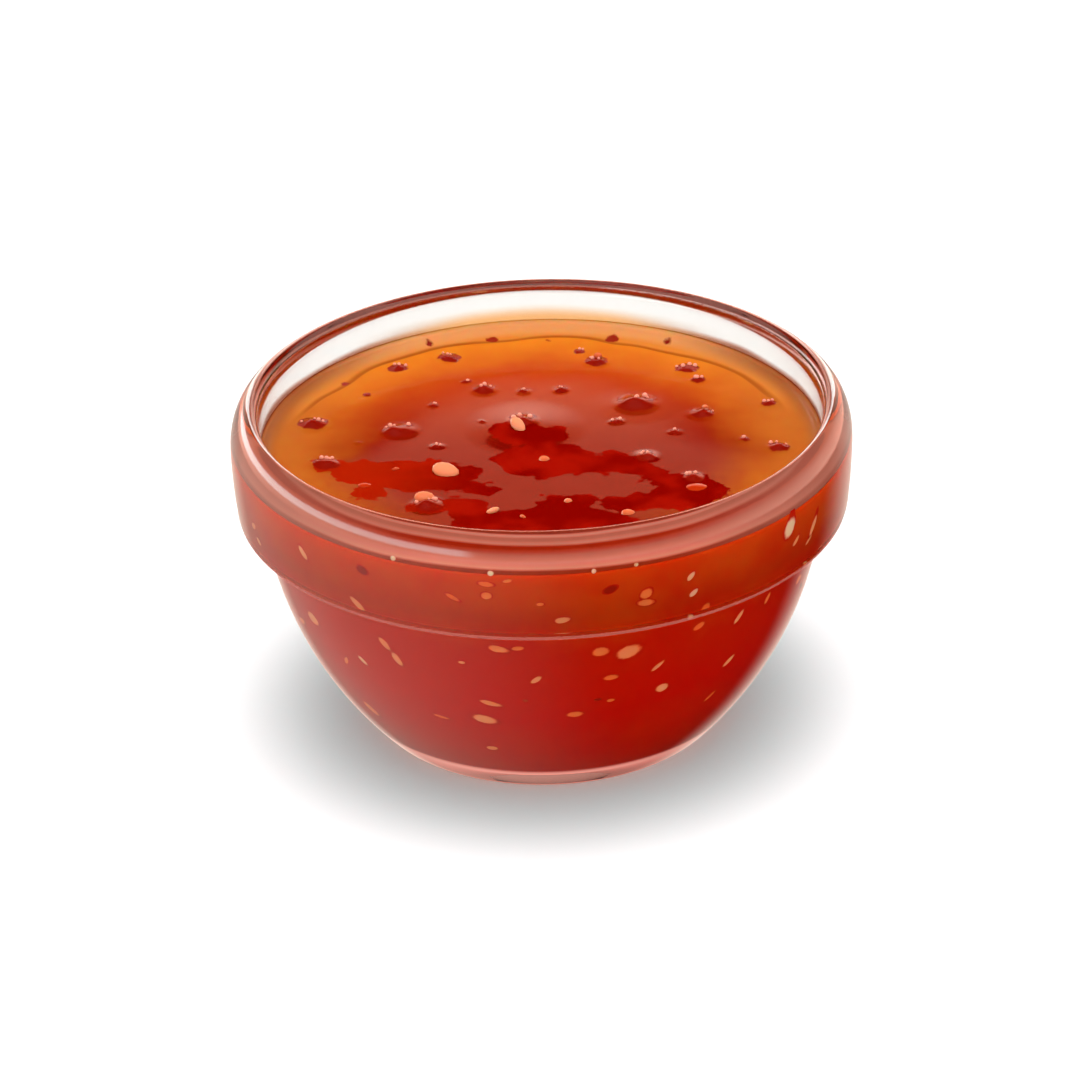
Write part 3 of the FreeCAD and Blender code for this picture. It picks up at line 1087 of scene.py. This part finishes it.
rng = random.Random(12)
strewn = []
for _ in range(STREWN_COUNT):
    round_by = rng.uniform(-32, 222)
    paleness = rng.choice((0.0, 0.45, 0.5, 0.6, 0.7, 0.75, 0.8))
    length = rng.triangular(0.8, 3.2, 1.6)
    height_up = rng.uniform(*STREWN_HEIGHTS)
    width = length * rng.uniform(0.4, 0.8)
    strewn.append((round_by, height_up, length, width, rng.uniform(-70, 70), paleness))
wall_seeds = []
for round_by, height_up, length, width, turn, paleness in WALL_SEEDS + strewn:
    radius = np.interp(height_up, wall_heights, wall_radii)
    below, above = np.interp([height_up - 0.5, height_up + 0.5], wall_heights, wall_radii)
    rise = above - below
    spread = 1 / math.sqrt(1 - (1 - 2 * SEED_SHOWS / SEED_THICKNESS) ** 2)
    matrix = (
        Matrix.Rotation(math.radians(round_by), 4, "Z")
        @ Matrix.Translation((radius * MM, 0, height_up * MM))
        @ Matrix.Rotation(math.pi / 2 + math.atan(rise), 4, "Y")
        @ Matrix.Rotation(math.pi / 2, 4, "Z")
        @ Matrix.Translation((0, 0, (SEED_SHOWS - SEED_THICKNESS / 2) * MM))
        @ Matrix.Rotation(math.radians(turn), 4, "Z")
        @ Matrix.Diagonal((length * spread * MM, width * spread * MM, SEED_THICKNESS * MM, 1))
    )
    wall_seeds.append(copied(seed, matrix))
    paint_flat(wall_seeds[-1], "paleness", paleness)
wall_seeds = joined("seeds_against_glass", wall_seeds)
wall_seeds.visible_diffuse = False

# Seed husk and chili flesh are matt and pale orange, and the gel closes over them towards their edges.
# Their bare faces have a painted glow in their own colour.
seed_look, tree = new_material("chili seeds and flesh, in gel")
paleness = add_node(tree, "Attribute", attribute_name="paleness").outputs["Fac"]
tint = add_node(tree, "ValToRGB", {"Fac": paleness})
ramp = tint.color_ramp
ramp.elements[0].color = linear("a41808")
ramp.elements[1].color = linear("ffc8a0")
for position, colour in ((0.35, "f0581c"), (0.6, "fa783c"), (0.8, "ff9c68")):
    ramp.elements.new(position).color = linear(colour)
height_of_face = add_node(tree, "Attribute", attribute_name="raised").outputs["Fac"]
place = add_node(tree, "TexCoord").outputs["Object"]
blotches = add_node(tree, "TexNoise", {"Vector": place, "Scale": 1 / (0.9 * MM), "Detail": 2.0})
worn = add_node(tree, "Math", [blotches.outputs["Fac"], 0.16, height_of_face], operation="MULTIPLY_ADD")
bare = add_node(tree, "MapRange", [worn, 0.8, 0.98], interpolation_type="SMOOTHSTEP")
husk = add_node(
    tree,
    "BsdfPrincipled",
    {
        "Base Color": add_node(
            tree, "Mix", {"Factor": bare, "A_Color": linear("e02204"), "B_Color": tint}, data_type="RGBA"
        ),
        # Painted glow: the bare faces give off light in their own colour.
        "Emission Color": add_node(
            tree, "Mix", {"Factor": bare, "A_Color": linear("000000"), "B_Color": tint}, data_type="RGBA"
        ),
        "Emission Strength": SEED_PAINTED_GLOW,
        "Roughness": 0.6,
        "Specular IOR Level": 0.0,
        "Subsurface Weight": 1.0,
        "Subsurface Radius": (1.0, 0.25, 0.1),
        "Subsurface Scale": 0.3 * MM,
    },
)
add_node(tree, "OutputMaterial", {"Surface": husk})
wall_seeds.data.materials.append(seed_look)
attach(wall_seeds, "root")
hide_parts("sauce")

# ---- Seeds in the skin ----------------------------------------------------------------------------
# Chili seeds that float half sunk in the sauce, wet and leaning every way.
TOP_SEEDS = [  # across, away, length, width, turn, lean towards the front, lift, paleness
    (-11.7, -6.4, 3.1, 2.4, -25, 20, 0.55, 0.9),
    (-2.9, 4.7, 2.3, 1.6, -60, 28, 0.6, 0.95),
    (-14.1, -13.6, 2.2, 1.7, 0, 25, 0.5, 0.8),
    (-6.0, -16.9, 1.6, 0.9, 25, 45, 0.2, 1.0),
    (0.2, -3.6, 1.3, 1.2, 0, 40, 0.1, 0.7),
    (2.9, -14.7, 1.0, 0.9, 0, 40, 0.1, 0.8),
    (-2.4, -18.4, 0.9, 0.6, -40, 40, 0.1, 0.7),
    (9.8, -18.2, 1.6, 1.3, 0, 30, 0.1, 0.7),
    (18.1, -12.2, 3.4, 3.2, 0, 5, -0.12, 0.3),
    (-21.2, -9.4, 2.2, 2.0, 0, 8, -0.12, 0.3),
    (-17.6, -5.2, 1.0, 0.6, 20, 20, 0.05, 0.45),
    (7.4, 24.6, 1.0, 0.9, 0, 40, 0.4, 0.6),
    (20.2, 8.6, 0.8, 0.7, 0, 40, 0.45, 0.75),
]
mesh_places = np.array([vertex.co for vertex in sauce.data.vertices]) / MM


def skin_level(across, away):
    """Height of the sauce's skin at a place, in millimetres."""
    distance = np.hypot(mesh_places[:, 0] - across, mesh_places[:, 1] - away) + 100.0 * ~on_skin
    return mesh_places[int(distance.argmin()), 2]


top_seeds = []
for across, away, length, width, turn, lean, lift, paleness in TOP_SEEDS:
    matrix = (
        Matrix.Translation((across * MM, away * MM, (skin_level(across, away) + lift - 0.25) * MM))
        @ Matrix.Rotation(math.radians(lean), 4, "X")
        @ Matrix.Rotation(math.radians(turn), 4, "Z")
        @ Matrix.Diagonal((length * MM, width * MM, 1.0 * MM, 1))
    )
    top_seeds.append(copied(seed, matrix))
    paint_flat(top_seeds[-1], "paleness", paleness)
top_seeds = joined("seeds_in_skin", top_seeds)
bpy.data.objects.remove(seed)

# The same husk, but bare and wet, with the gel's own shine.
wet_seed_look, tree = new_material("chili seeds, wet")
paleness = add_node(tree, "Attribute", attribute_name="paleness").outputs["Fac"]
tint = add_node(tree, "ValToRGB", {"Fac": paleness})
ramp = tint.color_ramp
ramp.elements[0].color = linear("7c0a04")
ramp.elements[1].color = linear("e8966c")
for position, colour in ((0.3, "b42c04"), (0.7, "d86c40")):
    ramp.elements.new(position).color = linear(colour)
husk = add_node(
    tree,
    "BsdfPrincipled",
    {
        "Base Color": tint,
        "Roughness": 0.12,
        "IOR": 1.42,
        "Subsurface Weight": 0.6,
        "Subsurface Radius": (1.0, 0.4, 0.2),
        "Subsurface Scale": 0.5 * MM,
    },
)
add_node(tree, "OutputMaterial", {"Surface": husk})
top_seeds.data.materials.append(wet_seed_look)
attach(top_seeds, "root")
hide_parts("sauce")

# ---- Bubbles --------------------------------------------------------------------------------------
# Tiny air bubbles that have risen against the bits of chili and stand out of the skin as beads.
bpy.ops.object.select_all(action="DESELECT")
bpy.ops.mesh.primitive_uv_sphere_add(segments=10, ring_count=6, radius=1, location=(0, 0, 0))
bead = bpy.context.object
bead.name = "bead"
bpy.ops.object.shade_smooth()
rng = random.Random(5)
beads = []
for across, away, size in LUMPS:
    if size < 0.55 or math.hypot(across, away) > LUMPS_WITHIN:
        continue
    for _ in range(1 + round(1.6 * size)):
        angle = rng.uniform(0.1, 0.9) * math.pi
        out = size * rng.uniform(0.2, 0.95)
        x, y = across + out * math.cos(angle), away + out * math.sin(angle)
        radius = rng.uniform(0.14, 0.2 + 0.1 * size)
        middle = Matrix.Translation((x * MM, y * MM, (skin_level(x, y) + 0.2 * radius) * MM))
        beads.append(copied(bead, middle @ Matrix.Scale(radius * MM, 4)))
beads = joined("bubbles", beads)
bpy.data.objects.remove(bead)

# The beads are glossy and an opaque pale pink: painted glints on the lumps of chili.
bubble_look, tree = new_material("bubble in chili sauce, painted glint")
bubble = add_node(
    tree,
    "BsdfPrincipled",
    {"Base Color": linear("f09880"), "Roughness": 0.08, "IOR": 1.42},
)
add_node(tree, "OutputMaterial", {"Surface": bubble})
beads.data.materials.append(bubble_look)
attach(beads, "root")
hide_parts("sauce")
